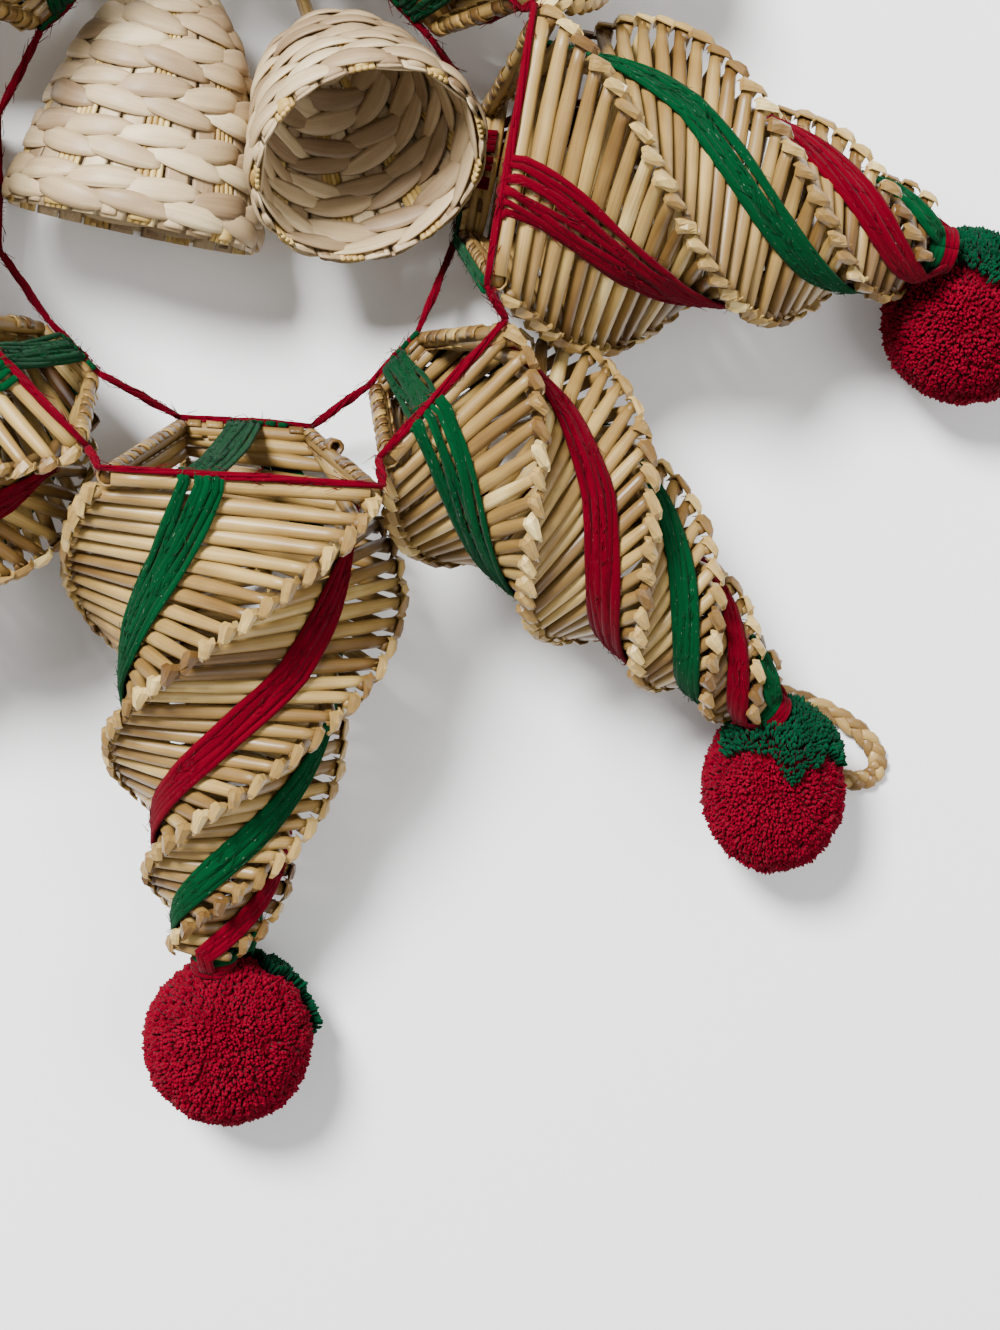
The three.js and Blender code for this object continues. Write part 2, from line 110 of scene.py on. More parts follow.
class Cone:
    """The shape of a cone: its section is a square that shrinks and turns from mouth (0) to tip (1)."""

    def __init__(self, facts):
        self.__dict__.update(facts)
        h, d, lean, b = (math.radians(a) for a in (self.heading, self.droop, self.lean, self.bearing))
        self.axis = vec(math.cos(h) * math.cos(d), math.sin(h) * math.cos(d), -math.sin(d))
        self.side = vec(-math.sin(h), math.cos(h), 0)
        square = np.cross(self.axis, self.side)
        self.front = square * math.cos(lean) + self.axis * math.sin(lean)
        self.mouth = RING_CENTRE + vec(
            math.cos(b) * self.reach, math.sin(b) * self.reach, MOUTH_HEIGHT + self.rise)
        grid = np.linspace(0, 1, 401)
        middle = (grid[1:] + grid[:-1]) / 2
        rate = RIDGE_LEAD / self.radius_at(middle) * self.length / 400
        self.grid, self.turns = grid, np.concatenate([[0], np.cumsum(rate)])

    def radius_at(self, s):
        pinch = self.pinch * np.maximum(0, 1 - s / PINCH_END) ** 2
        return self.radius * (1 - TAPER * np.maximum(s, 0) ** TAPER_POWER) * (1 - pinch)

    def turn_at(self, s):
        return np.interp(s, self.grid, self.turns)

    def centre_at(self, s):
        return self.mouth + self.axis * s * self.length

    def outward(self, angle):
        return self.side * math.sin(angle) + self.front * math.cos(angle)

    def point_at(self, s, angle, distance):
        depth = distance * math.cos(angle)
        squeeze = self.squeeze * max(0, 1 - s / SQUEEZE_END) ** SQUEEZE_FADE
        narrow = 1 - squeeze * (1 - depth / self.radius_at(s)) / 2
        return self.centre_at(s) + self.side * distance * math.sin(angle) * narrow + self.front * depth

    def corner_angle(self, s, k):
        return math.radians(45 + 90 * k) - self.turn_at(s)

    def corner(self, s, k, inset=0.0):
        return self.point_at(s, self.corner_angle(s, k), self.radius_at(s) - inset)


# ---- collecting many small closed bits into one mesh ----
class Bits:
    """Points, each with a tone and a place on its fibre (along, round, seed) for the materials."""

    def __init__(self):
        self.points, self.fibre, self.tone = [], [], []
        self.faces, self.slots, self.smooth = [], [], []
        self.count = 0

    def add(self, points, faces, fibre, tone, slot=0, smooth=True):
        n = len(points)
        self.points.append(points)
        self.faces.extend([tuple(i + self.count for i in f) for f in faces])
        self.fibre.append(fibre)
        self.tone.append(np.full(n, tone) if np.isscalar(tone) else tone)
        self.slots.extend([slot] * len(faces))
        self.smooth.extend([smooth] * len(faces))
        self.count += n

    def make(self, name, materials, nodes, material_slot):
        points = np.concatenate(self.points)
        points[:, 2] = np.maximum(points[:, 2], FLOOR_GAP)
        mesh = bpy.data.meshes.new(name)
        mesh.from_pydata((points * MM).tolist(), [], self.faces)
        mesh.attributes.new("fibre", "FLOAT_VECTOR", "POINT").data.foreach_set(
            "vector", np.concatenate(self.fibre).astype(np.float32).ravel())
        mesh.attributes.new("tone", "FLOAT", "POINT").data.foreach_set(
            "value", np.concatenate(self.tone).astype(np.float32))
        for m in materials:
            mesh.materials.append(m)
        mesh.polygons.foreach_set("material_index", self.slots)
        mesh.polygons.foreach_set("use_smooth", self.smooth)
        mesh.update()
        obj = bpy.data.objects.new(name, mesh)
        bpy.context.scene.collection.objects.link(obj)
        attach(obj, "root")
        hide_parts(*nodes)
        return obj


@functools.cache
def tube_faces(rings, sides):
    faces = []
    for i in range(rings - 1):
        for j in range(sides):
            k = (j + 1) % sides
            faces.append((i * sides + j, i * sides + k, (i + 1) * sides + k, (i + 1) * sides + j))
    faces.append(tuple(range(sides - 1, -1, -1)))
    faces.append(tuple((rings - 1) * sides + j for j in range(sides)))
    return faces


def tube(bits, path, normal, wide, deep, sides=8, tone=0.5, slot=0):
    """A closed tube along path. wide and deep: half its sizes.

    normal is the way its front faces, at each point or all along.
    """
    path = np.asarray(path, float)
    n = len(path)
    along = np.gradient(path, axis=0)
    length = np.linalg.norm(along, axis=1, keepdims=True)
    along = along / np.maximum(length, 1e-9)
    normal = np.broadcast_to(np.asarray(normal, float), path.shape)
    across = unit_rows(np.cross(along, normal))
    up = np.cross(across, along)
    wide = np.broadcast_to(wide, n)[:, None, None]
    deep = np.broadcast_to(deep, n)[:, None, None]
    angle = np.linspace(0, 2 * math.pi, sides, endpoint=False) - math.pi / 2
    ring = across[:, None, :] * np.cos(angle)[None, :, None] * wide
    ring = ring + up[:, None, :] * np.sin(angle)[None, :, None] * deep
    points = (path[:, None, :] + ring).reshape(-1, 3)
    run = np.concatenate([[0], np.cumsum(np.linalg.norm(np.diff(path, axis=0), axis=1))])
    seed = rng.uniform(0, 100)
    girth = float(np.mean(wide + deep)) * math.pi
    fibre = np.stack([
        np.repeat(run, sides),
        np.tile(np.linspace(0, girth, sides, endpoint=False), n),
        np.full(n * sides, seed),
    ], axis=1)
    bits.add(points, tube_faces(n, sides), fibre, tone, slot)


def slab(bits, top, normal, thickness, tone=0.5, slot=0, smooth=True):
    """A closed thin sheet: top is a grid of points (rows, columns, 3), normal its front at each point."""
    rows, cols = top.shape[:2]
    under = top - normal * thickness
    points = np.concatenate([top.reshape(-1, 3), under.reshape(-1, 3)])
    half = rows * cols
    faces = []
    for i in range(rows - 1):
        for j in range(cols - 1):
            a, b, c, d = i * cols + j, i * cols + j + 1, (i + 1) * cols + j + 1, (i + 1) * cols + j
            faces.append((a, b, c, d))
            faces.append((half + d, half + c, half + b, half + a))
    edge = list(range(cols))
    edge += [i * cols + cols - 1 for i in range(1, rows)]
    edge += [(rows - 1) * cols + j for j in range(cols - 2, -1, -1)]
    edge += [i * cols for i in range(rows - 2, 0, -1)]
    for a, b in zip(edge, edge[1:] + edge[:1]):
        faces.append((b, a, half + a, half + b))
    step = np.linalg.norm(np.diff(top, axis=0), axis=2).mean()
    width = np.linalg.norm(np.diff(top, axis=1), axis=2).mean()
    i, j = np.meshgrid(np.arange(rows), np.arange(cols), indexing="ij")
    seed = rng.uniform(0, 100)
    fibre = np.stack([i.ravel() * step, j.ravel() * width, np.full(half, seed)], axis=1)
    bits.add(points, faces, np.concatenate([fibre, fibre]), tone, slot, smooth)


# ---- materials ----
class Nodes:
    """A material with a Principled shader, and short calls to add nodes to it."""

    def __init__(self, name, roughness, sheen=0.0, coat=0.0, specular=0.5):
        self.material = bpy.data.materials.new(name)
        self.material.use_nodes = True
        self.tree = self.material.node_tree
        self.shader = self.tree.nodes["Principled BSDF"]
        self.shader.inputs["Roughness"].default_value = roughness
        self.shader.inputs["Sheen Weight"].default_value = sheen
        self.shader.inputs["Sheen Roughness"].default_value = 0.45
        self.shader.inputs["Coat Weight"].default_value = coat
        self.shader.inputs["Coat Roughness"].default_value = 0.35
        self.shader.inputs["Specular IOR Level"].default_value = specular

    def node(self, kind, **values):
        n = self.tree.nodes.new(kind)
        for key, value in values.items():
            if key in n.inputs:
                n.inputs[key].default_value = value
            else:
                setattr(n, key, value)
        return n

    def link(self, a, b):
        self.tree.links.new(a, b)

    def attribute(self, name):
        return self.node("ShaderNodeAttribute", attribute_name=name)

    def scaled(self, vector, x, y, z):
        n = self.node("ShaderNodeMapping")
        n.inputs["Scale"].default_value = (x, y, z)
        self.link(vector, n.inputs["Vector"])
        return n.outputs["Vector"]

    def noise(self, vector, scale, detail=2.0, roughness=0.5, distortion=0.0):
        n = self.node("ShaderNodeTexNoise", Scale=scale, Detail=detail, Roughness=roughness,
                      Distortion=distortion)
        self.link(vector, n.inputs["Vector"])
        return n.outputs["Fac"]

    def maths(self, operation, a, b=0.5, c=None):
        n = self.node("ShaderNodeMath", operation=operation)
        for i, v in enumerate([a, b] if c is None else [a, b, c]):
            if isinstance(v, (int, float)):
                n.inputs[i].default_value = v
            else:
                self.link(v, n.inputs[i])
        return n.outputs[0]

    def ramp(self, fac, stops):
        n = self.node("ShaderNodeValToRGB")
        while len(n.color_ramp.elements) < len(stops):
            n.color_ramp.elements.new(0.5)
        for e, (place, colour) in zip(n.color_ramp.elements, stops):
            e.position = place
            e.color = (*colour, 1)
        self.link(fac, n.inputs["Fac"])
        return n.outputs["Color"]

    def mix(self, fac, a, b):
        n = self.node("ShaderNodeMix", data_type="RGBA")
        for socket, v in ((n.inputs[0], fac), (n.inputs[6], a), (n.inputs[7], b)):
            if isinstance(v, (int, float)):
                socket.default_value = v
            elif isinstance(v, tuple):
                socket.default_value = (*v, 1)
            else:
                self.link(v, socket)
        return n.outputs[2]

    def finish(self, colour, height=None, strength=0.3, distance=0.0003, roughness=None):
        self.link(colour, self.shader.inputs["Base Color"])
        if roughness is not None:
            self.link(roughness, self.shader.inputs["Roughness"])
        if height is not None:
            n = self.node("ShaderNodeBump", Strength=strength, Distance=distance)
            self.link(height, n.inputs["Height"])
            self.link(n.outputs["Normal"], self.shader.inputs["Normal"])
        return self.material


def straw_material(name, stops, roughness=0.36):
    """Split-free straw: a tone for each stalk, long fibres and a few brown flecks."""
    m = Nodes(name, roughness, coat=0.14, specular=0.32)
    fibre = m.attribute("fibre").outputs["Vector"]
    tone = m.attribute("tone").outputs["Fac"]
    lines = m.noise(m.scaled(fibre, 0.05, 2.6, 1.0), 1.0, 3.0, 0.6)
    blotch = m.noise(m.scaled(fibre, 0.09, 0.25, 1.0), 1.0, 2.0)
    fleck = m.noise(m.scaled(fibre, 0.5, 1.6, 1.0), 1.0, 2.0)
    value = m.maths("MULTIPLY_ADD", lines, 0.34, tone)
    value = m.maths("MULTIPLY_ADD", blotch, 0.5, value)
    colour = m.ramp(m.maths("SUBTRACT", value, 0.42), stops)
    dark = m.ramp(fleck, [(0.0, (0, 0, 0)), (0.66, (0, 0, 0)), (0.78, (1, 1, 1))])
    colour = m.mix(m.maths("MULTIPLY", dark, 0.3), colour, (0.12, 0.05, 0.015))
    height = m.noise(m.scaled(fibre, 0.03, 4.0, 1.0), 1.0, 2.0, 0.7)
    rough = m.maths("MULTIPLY_ADD", lines, 0.2, roughness - 0.1)
    return m.finish(colour, height, 0.35, 0.00018, rough)


def yarn_material(name, dark, middle, light, painted_glint_amount):
    """Soft wool: fibres along the strand, darker in the depth with painted shade, and pale specks that are
    painted highlights of loose fibres catching light.
    """
    m = Nodes(name, 0.95, sheen=0.03, specular=0.03)
    fibre = m.attribute("fibre").outputs["Vector"]
    tone = m.attribute("tone").outputs["Fac"]
    hair = m.noise(m.scaled(fibre, 0.35, 5.0, 1.0), 1.0, 3.0, 0.65, 0.4)
    value = m.maths("ADD", m.maths("MULTIPLY_ADD", hair, 0.5, tone), -0.25)
    colour = m.ramp(value, [(0.0, dark), (0.5, middle), (1.0, light)])
    # painted highlight: sparse pale specks stand in for light caught by loose fibres
    painted_glint = m.noise(m.scaled(fibre, 0.9, 4.0, 1.0), 1.0, 1.0)
    painted_glint = m.ramp(painted_glint, [(0.0, (0, 0, 0)), (0.72, (0, 0, 0)), (0.8, (1, 1, 1))])
    colour = m.mix(m.maths("MULTIPLY", painted_glint, painted_glint_amount), colour, (0.75, 0.8, 0.7))
    height = m.noise(m.scaled(fibre, 0.5, 6.0, 1.0), 1.0, 3.0, 0.7)
    return m.finish(colour, height, 0.5, 0.0004)


STRAW_STOPS = [
    (0.0, (0.065, 0.026, 0.006)),
    (0.25, (0.14, 0.074, 0.02)),
    (0.5, (0.25, 0.15, 0.043)),
    (0.75, (0.42, 0.28, 0.09)),
    (1.0, (0.8, 0.63, 0.28)),
]
STRAW = straw_material("straw", STRAW_STOPS)
RED = yarn_material("red_wool", (0.055, 0.0, 0.004), (0.105, 0.0, 0.006), (0.15, 0.0, 0.01), 0.03)
GREEN = yarn_material("green_wool", (0.0, 0.022, 0.006), (0.0, 0.04, 0.011), (0.001, 0.068, 0.02), 0.2)
RED_TUFT = yarn_material("red_pompom", (0.09, 0.0, 0.005), (0.155, 0.0, 0.01), (0.2, 0.0, 0.014), 0.0)
GREEN_TUFT = yarn_material(
    "green_pompom", (0.0, 0.016, 0.006), (0.0, 0.04, 0.015), (0.001, 0.065, 0.026), 0.0)


# ---- straw cones ----
STRAW_STATIONS, STRAW_SIDES = 8, 8
NEAR_END = 0.05                 # how much nearer to its ends a straw's next points lie
SHADED_END = 0.14                 # the share of a straw at each end that is painted darker, painted shade where it tucks under a fold


def straw(bits, start, end, normal, radius, tone, taper):
    """One straw between two ridges: round in the middle, pressed narrow at both ends, and darker there with
    painted shade where the ends tuck under the folds.
    """
    t = np.linspace(0, 1, STRAW_STATIONS)
    t[1] -= NEAR_END
    t[-2] += NEAR_END
    belly = np.sin(math.pi * np.clip(t * 0.94 + 0.03, 0, 1)) ** 0.6
    size = radius * (1 - taper + taper * belly)
    run = end - start
    cross = unit(np.cross(run, normal))
    bow = rng.normal(0, 0.2)
    path = start + run * t[:, None] - normal * size[:, None] + cross * (bow * np.sin(math.pi * t))[:, None]
    # painted shade: the tone drops towards both ends, where the straw goes under the folds
    shade = tone - 0.16 * (1 - np.minimum(1, np.minimum(t, 1 - t) / SHADED_END))
    tones = np.repeat(np.clip(shade, 0, 1), STRAW_SIDES)
    tube(bits, path, normal, size, size * 0.92, STRAW_SIDES, tones)


FOLD_ROWS = np.array([-0.5, -0.38, -0.05, 0.28, 0.5])      # along a fold, from its crease to its tucked end
FOLD_LIFTS = np.array([-0.35, 0.62, 0.5, 0.2, -1.0])
FOLD_COLUMNS = np.array([-1, -0.45, 0.0, 0.45, 1])


def fold(bits, corner, along, left, right, out, length, wide, tone, skew, crease):
    """A straw pressed flat and folded over a ridge.

    along runs to the tip, left and right down the two faces, and out away from the cone.
    """
    rows, cols = len(FOLD_ROWS), len(FOLD_COLUMNS)
    top = np.zeros((rows, cols, 3))
    normal = np.zeros((rows, cols, 3))
    c, s = math.cos(skew), math.sin(skew)
    left_normal = turned_to(unit(np.cross(along, left)), out)
    right_normal = turned_to(unit(np.cross(along, right)), out)
    for i, a in enumerate(FOLD_ROWS):
        for j, b in enumerate(FOLD_COLUMNS):
            narrow = 1 - 0.42 * (a + 0.5)
            across = b * wide * narrow * c + a * length * s
            ahead = a * length * c - b * wide * s * 0.7
            way, flat = (right, right_normal) if across > 0 else (left, left_normal)
            n = unit(flat + out * 0.9 * math.exp(-abs(across) / 0.8))
            roof = crease * max(0.0, 1 - abs((a + 0.5) - (b + 1) / 2) * 2.2)
            top[i, j] = corner + along * ahead + way * abs(across) + n * (FOLD_LIFTS[i] + roof)
            normal[i, j] = n
    slab(bits, top, normal, LEAF_THICKNESS, tone, smooth=False)


FRONT_SIDE = 3
WRAP_PITCH = 4.6                # from one turn of flat straw on the rim to the next
MISSING_WRAPS = 0.12            # the share of them that has come off


def rim_wraps(bits, cone):
    """The thick rim of a mouth: a straw along each side with flattened straw wound over it."""
    for k in range(4):
        a, b = cone.corner(0, k, 1.6), cone.corner(0, k + 1, 1.6)
        run = b - a
        length = np.linalg.norm(run)
        way = run / length
        normal = turned_to(unit(np.cross(cone.axis, way)), (a + b) / 2 - cone.centre_at(0))
        t = np.linspace(0.02, 0.98, 9)
        path = a + run * t[:, None]
        tube(bits, path, normal, 1.5, 1.45, 8, rng.uniform(0.3, 0.7))
        # the front side is left bare
        count = 0 if k == FRONT_SIDE else int(length / WRAP_PITCH)
        for i in range(count):
            place = (i + 0.5 + rng.uniform(-0.18, 0.18)) / count
            if rng.random() < MISSING_WRAPS:
                continue
            half = rng.uniform(1.2, 2.0)
            slant = rng.uniform(-0.25, 0.35)
            rows, cols = 9, 4
            top = np.zeros((rows, cols, 3))
            facing = np.zeros((rows, cols, 3))
            for r in range(rows):
                turn = math.radians(-150 + 300 * r / (rows - 1))
                n = normal * math.cos(turn) - cone.axis * math.sin(turn)
                for q in range(cols):
                    shift = (q / (cols - 1) - 0.5) * 2 * half + slant * math.sin(turn) * 1.5
                    bulge = 1.95 + rng.uniform(-0.05, 0.12)
                    top[r, q] = a + way * (place * length + shift) + n * bulge
                    facing[r, q] = n
            slab(bits, top, facing, LEAF_THICKNESS, rng.uniform(0.05, 0.65))


def cut_end(bits, base, way, radius, length):
    """A straw cut square, so that its hollow shows."""
    sides = 10
    first = unit(np.cross(way, vec(0.3, 1, 0.1)))
    second = np.cross(way, first)
    # how far along each ring lies, and its share of the radius: up the outside, then down inside
    rings = [(0, 1), (length, 1), (length, 0.62), (length * 0.35, 0.55)]
    angle = np.linspace(0, 2 * math.pi, sides, endpoint=False)
    circle = first * np.cos(angle)[:, None] + second * np.sin(angle)[:, None]
    points = np.concatenate([base + way * at + circle * radius * share for at, share in rings])
    fibre = np.stack([np.repeat([r[0] for r in rings], sides), np.tile(angle * radius, len(rings)),
                      np.full(len(points), 3.0)], axis=1)
    # painted shade: the last ring, deep in the straw's hollow, is given a dark tone
    shade = np.repeat([0.15, 0.25, 0.2, -0.3], sides)
    bits.add(points, tube_faces(len(rings), sides), fibre, shade)


LAST_LAYER = 0.995              # shares of a cone's length: no straw starts beyond this one,
BROWN_FROM = 0.84               # some straws are brown from here on,
THIN_FROM = 0.9                 # the straws are thinner from here on
SMALL_FROM = 0.8                # and the folds are smaller from here on
FOLD_LENGTH, FOLD_HALF_WIDTH = 5.2, 1.75
STALK_STRAWS = 9
CUT_END_ON = ("south", "west", "north_east")


def straw_and_fold(bits, cone, s, k):
    """The straw on the face after corner k, and the fold over that corner."""
    a, b = cone.corner(s, k), cone.corner(s, k + 1)
    run = b - a
    length = np.linalg.norm(run)
    way = run / length
    normal = turned_to(unit(np.cross(cone.axis, way)), (a + b) / 2 - cone.centre_at(s))
    gap = min(0.7, 0.1 * length)
    radius = STRAW_RADIUS * rng.uniform(0.93, 1.09) * (1 if s < THIN_FROM else 0.92)
    slide = cone.axis * rng.normal(0, 0.1)
    tone = np.clip(rng.normal(0.5, 0.15), 0.03, 0.97)
    if s > BROWN_FROM and rng.random() < 0.5:
        tone *= 0.45
    start = a + way * gap + slide + cone.axis * rng.normal(0, 0.16)
    end = b - way * gap + slide + cone.axis * rng.normal(0, 0.16)
    straw(bits, start, end, normal, radius, tone, rng.uniform(0.36, 0.5))
    # the fold lies between this straw and the one on the face before
    left = unit(cone.corner(s, k - 1) - a)
    out = unit(-(left + way))
    small = 1 if s < SMALL_FROM else 0.85
    ahead = unit(cone.corner(s + 0.01, k) - a)
    along = unit(cone.axis + ahead * 0.55)
    corner = a + along * rng.uniform(-0.2, 0.4)
    fold_length = FOLD_LENGTH * rng.uniform(0.88, 1.15) * small
    half_width = FOLD_HALF_WIDTH * rng.uniform(0.85, 1.2) * small
    # painted highlight: on average a fold is painted a little lighter than its straw
    fold_tone = np.clip(tone + rng.normal(0.05, 0.09), 0.1, 0.86)
    skew = math.radians(rng.normal(-4, 11))
    crease = rng.uniform(0.1, 0.7)
    fold(bits, corner, along, left, way, out, fold_length, half_width, fold_tone, skew, crease)


def stalk(bits, cone):
    """Straw ends tied together beyond the tip: one in the middle, the others round it."""
    for i in range(STALK_STRAWS):
        turn = i * 2.4
        spread = 0.0 if i == 0 else 2.3
        start = cone.centre_at(1) + cone.outward(turn) * spread - cone.axis * 3
        end = start + cone.axis * (STALK_LENGTH + 3.0)
        path = np.linspace(start, end, 4)
        tube(bits, path, cone.outward(turn), 1.15, 1.05, 8, rng.uniform(0.2, 0.6))


def make_cone(cone):
    bits = Bits()
    for i in range(int(cone.length / STRAW_PITCH)):
        for k in range(4):
            s = (i + 0.5 + k / 4 + rng.uniform(-0.05, 0.05)) * STRAW_PITCH / cone.length
            if s <= LAST_LAYER:
                straw_and_fold(bits, cone, s, k)
    rim_wraps(bits, cone)
    stalk(bits, cone)
    if cone.name in CUT_END_ON:
        spot = cone.corner(0, 1) * 0.7 + cone.corner(0, 0) * 0.3
        way = unit(vec(0.25, -0.3, 1) - cone.axis * 0.2)
        cut_end(bits, spot - cone.axis * 1.5, way, 1.7, 3.5)
    return bits.make(f"straw_{cone.name}", [STRAW], [f"straw_cone_{cone.name}"], "straw")


# ---- yarn ----
def strand_bundle(bits, centres, normals, widths, count, radius):
    """Strands of yarn side by side along a path, each wandering a little across its neighbours."""
    centres, normals = np.asarray(centres, float), np.asarray(normals, float)
    widths = np.broadcast_to(widths, len(centres))
    along = unit_rows(np.gradient(centres, axis=0))
    across = unit_rows(np.cross(along, normals))
    step = np.arange(len(centres))
    for place in np.linspace(-0.5, 0.5, count):
        phase, rate = rng.uniform(0, 6.28), rng.uniform(0.15, 0.45)
        walk = place + 0.9 * np.sin(phase + rate * step) / count
        wave = YARN_RISE * 0.6 * np.sin(phase * 2 + rate * 1.4 * step)
        rise = wave + YARN_RISE * (1 - (2 * place) ** 2)
        path = centres + across * (walk * widths)[:, None] + normals * rise[:, None]
        size = radius * rng.uniform(0.8, 1.2) * (1 + 0.1 * np.sin(phase + 1.3 * step))
        tube(bits, path, normals, size, size * 0.62, 6, np.clip(rng.normal(0.5, 0.08), 0.1, 0.9))


FLYAWAY_SIZE = np.array([0.11, 0.04])       # the radius of a loose fibre at its root and at its tip
FLYAWAY_TONE = 0.65


def flyaway(bits, centres, normals, widths, count):
    """Fine loose fibres: most lie along the yarn and leave its edges at a slant."""
    centres, normals = np.asarray(centres, float), np.asarray(normals, float)
    widths = np.broadcast_to(widths, len(centres))
    for _ in range(count):
        i = rng.integers(0, len(centres) - 1)
        run = unit(centres[i + 1] - centres[i])
        across = np.cross(run, normals[i])
        edge = rng.choice([-1, 1]) * rng.uniform(0, 0.54)
        start = centres[i] + (centres[i + 1] - centres[i]) * rng.random()
        lift = rng.uniform(0.0, 0.35) + 0.6 * (1 - 2 * abs(edge))
        start = start + across * edge * widths[i] + normals[i] * lift
        slant = math.copysign(rng.uniform(0.02, 0.5), edge)
        way = unit(run * rng.choice([-1, 1]) + across * slant + normals[i] * rng.uniform(-0.05, 0.25))
        bend = unit(rng.normal(0, 1, 3))
        length = rng.uniform(1.2, 3.0)
        path = np.array([start, start + (way + bend * 0.2) * length])
        tone = FLYAWAY_TONE + rng.uniform(-0.3, 0.25)
        tube(bits, path, unit(np.cross(way, bend)), FLYAWAY_SIZE, FLYAWAY_SIZE, 3, tone)


def band_path(cone, face, start):
    """A band's middle line down one face, from start to the tip, with its front and its width."""
    centres, normals, widths = [], [], []
    for s in np.arange(start, 1.0, BAND_STEP):
        angle = math.radians(90 * face) - cone.turn_at(s)
        half = cone.radius_at(s) * math.sqrt(0.5)
        out = unit(cone.point_at(s, angle, half) - cone.centre_at(s))
        a, b = cone.corner(s, face - 1), cone.corner(s, face)
        n = turned_to(unit(np.cross(cone.axis, b - a)), out)
        shift = BAND_SHIFT + (MOUTH_SHIFT - BAND_SHIFT) * max(0, 1 - s / SHIFT_END)
        centres.append((a + b) / 2 + (b - a) * shift + n * BAND_RISE)
        normals.append(n)
        widths.append(BAND_WIDTH + (BAND_TIP_WIDTH - BAND_WIDTH) * s ** 2 - BAND_TRIM)
    return centres, normals, widths


BAND_STRANDS, CROSSING_STRANDS, CROSSING_WIDTH = 10, 9, 5.6
BAND_FLYAWAYS, CROSSING_FLYAWAYS, END_FLYAWAYS = 330, 120, 60
SIDE_START = 0.03               # where the bands on a cone's sides start, as a share of the cone
SIDE_FADE = 5                   # points of the path over which such a band grows to its full width
FAN, FAN_END = 0.3, 10          # how much the others fan out at the mouth, and for how many points
BROAD_RED = 1.35                # the east cone's red band is this much wider
GREEN_TIE, RED_TIE = 1.2, 4.0   # how far past the tip each colour is tied round the stalk
INSET = 2.0                     # how far inside a mouth the crossing yarn lies


def over_the_rim(cone, centre, n, crossing):
    """Points that take a band over the rim and a little way down inside, and their fronts."""
    rim = centre - n * BAND_RISE
    path = [
        rim - n * 4.5 + cone.axis * 2.0,
        rim - n * 3.4 - cone.axis * 1.4,
        rim - cone.axis * 2.3 - n * 1.2,
        rim - cone.axis * 1.2 + n * 0.7,
    ]
    fronts = [-n, unit(-n - cone.axis), -cone.axis, unit(n - cone.axis)]
    # where yarn crosses the mouth, the band doesn't go down inside
    first = 2 if crossing else 0
    return path[first:], fronts[first:]


def lay_band(bits, cone, face, beyond, crossing, broad):
    """One band from the mouth, down the face's valley, to the turns round the stalk."""
    on_side = face % 2 == 1
    centres, normals, widths = band_path(cone, face, SIDE_START if on_side else 0.0)
    if on_side:
        widths = [w * min(1, 0.35 + 0.65 * i / SIDE_FADE) for i, w in enumerate(widths)]
    else:
        over, fronts = over_the_rim(cone, centres[0], normals[0], crossing)
        centres, normals = over + centres, fronts + normals
        widths = [widths[0]] * len(over) + widths
    tip = cone.centre_at(1)
    last = centres[-1]
    spoke = unit(last - tip - cone.axis * ((last - tip) @ cone.axis))
    for ahead, out, width in ((-0.4, 4.4, 2.2), (0.4, 3.9, 1.8)):
        centres.append(tip + cone.axis * (beyond + ahead) + spoke * out)
        normals.append(spoke)
        widths.append(width)
    fan = 1 + FAN * np.maximum(0, 1 - np.arange(len(widths)) / FAN_END)
    widths = np.array(widths) * broad * (1 if on_side else fan)
    strand_bundle(bits, centres, normals, widths, BAND_STRANDS, YARN_RADIUS)
    flyaway(bits, centres, normals, widths, BAND_FLYAWAYS)


def cross_the_mouth(bits, cone, face):
    """Yarn that runs across the mouth, from one band's rim to the other's."""
    near, far = [(cone.corner(0, face + q) + cone.corner(0, face + q - 1)) / 2 for q in (0, 2)]
    reach = cone.corner(0, face) - cone.corner(0, face - 1)
    a = near + reach * MOUTH_SHIFT - cone.axis * INSET
    b = far - cone.axis * INSET
    t = np.linspace(0, 1, 12)[:, None]
    path = a + (b - a) * t + cone.axis * np.sin(math.pi * t) * 0.8
    fronts = np.tile(-cone.axis, (len(path), 1))
    strand_bundle(bits, path, fronts, CROSSING_WIDTH, CROSSING_STRANDS, YARN_RADIUS)
    flyaway(bits, path, fronts, CROSSING_WIDTH, CROSSING_FLYAWAYS)


def loose_end(bits, cone):
    """A yarn end along the mouth's edge, from the lashing behind."""
    stops = [cone.corner(0, 1) * 0.3 + cone.corner(0, 2) * 0.7, cone.corner(0, 2), cone.corner(0, 3)]
    t = np.linspace(0, 2, 15)
    path = np.stack([np.interp(t, [0, 1, 2], [q[i] for q in stops]) for i in range(3)], axis=1)
    path = path - cone.axis * 2.2 + cone.side * -0.5
    fronts = np.tile(-cone.axis, (len(path), 1))
    strand_bundle(bits, path, fronts, 1.5, 5, 0.5)
    flyaway(bits, path, fronts, 2.0, END_FLYAWAYS)


def stalk_turns(bits, cone, beyond):
    """Three turns of yarn round the stalk, beyond the tip."""
    for ring in range(3):
        turn = np.linspace(0, 2 * math.pi, 20)
        middle = cone.centre_at(1) + cone.axis * (beyond + (ring - 1) * 0.95)
        path = [middle + cone.outward(a) * (4.2 + 0.15 * math.sin(3 * a + ring)) for a in turn]
        fronts = [cone.outward(a) for a in turn]
        tube(bits, path, fronts, 0.6, 0.6, 6, rng.uniform(0.35, 0.6))


